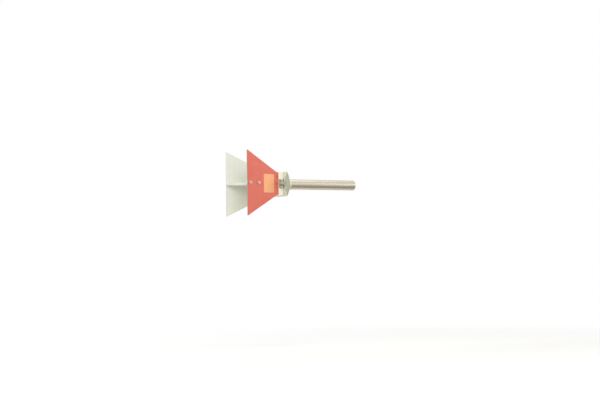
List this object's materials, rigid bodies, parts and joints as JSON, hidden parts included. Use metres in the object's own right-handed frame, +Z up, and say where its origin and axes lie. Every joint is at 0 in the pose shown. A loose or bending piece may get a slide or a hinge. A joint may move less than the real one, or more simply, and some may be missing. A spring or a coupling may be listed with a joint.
{
  "type": "double ridged horn antenna",
  "caption": "Open-boundary double ridged horn antenna with flared red plates, exponential ridges, throat housing, coaxial socket and a round mounting tube.",
  "frame": {"origin": "on the axis of horn and mounting tube, at the middle of the tube's length", "axes": "+X along the tube away from the horn, whose aperture looks along -X; +Z up; the flared plates stand at -Y and +Y, so the electric field lies along Y"},
  "size_m": [0.2944, 0.0938, 0.1362],
  "materials": {
    "red_plate": "red paint, satin",
    "red_screws": "countersunk heads painted over with the plate",
    "bright_aluminium": "milled, clear passivated",
    "pale_housing": "pale warm grey, satin",
    "grey_block": "greenish grey, satin",
    "tube_aluminium": "drawn, satin",
    "socket_metal": "passivated",
    "insulator": "white fluoropolymer",
    "contact_gold": "gold plated",
    "screw_steel": "stainless steel",
    "black_screws": "black oxide"
  },
  "bodies": {
    "root": {"left_flare_plate": "red_plate", "right_flare_plate": "red_plate", "left_ridge": "bright_aluminium", "right_ridge": "bright_aluminium", "left_side_wall": "pale_housing", "right_side_wall": "pale_housing", "top_cover": "pale_housing", "bottom_cover": "pale_housing", "cavity_block": "grey_block", "block_screws": "screw_steel", "tube_spigot": "bright_aluminium", "spigot_screw": "screw_steel", "mast_tube": "tube_aluminium", "tube_screws": "black_screws", "socket_shell": "socket_metal", "socket_insulator": "insulator", "socket_contact": "contact_gold", "socket_screws": "screw_steel", "left_ridge_screws": "screw_steel", "left_ridge_washers": "screw_steel", "right_ridge_screws": "screw_steel", "right_ridge_washers": "screw_steel", "left_tab_screws": "red_screws", "left_root_screw": "red_screws", "right_tab_screws": "red_screws", "right_root_screw": "red_screws", "top_cover_screws": "screw_steel", "bottom_cover_screws": "screw_steel"}
  },
  "joints": []
}
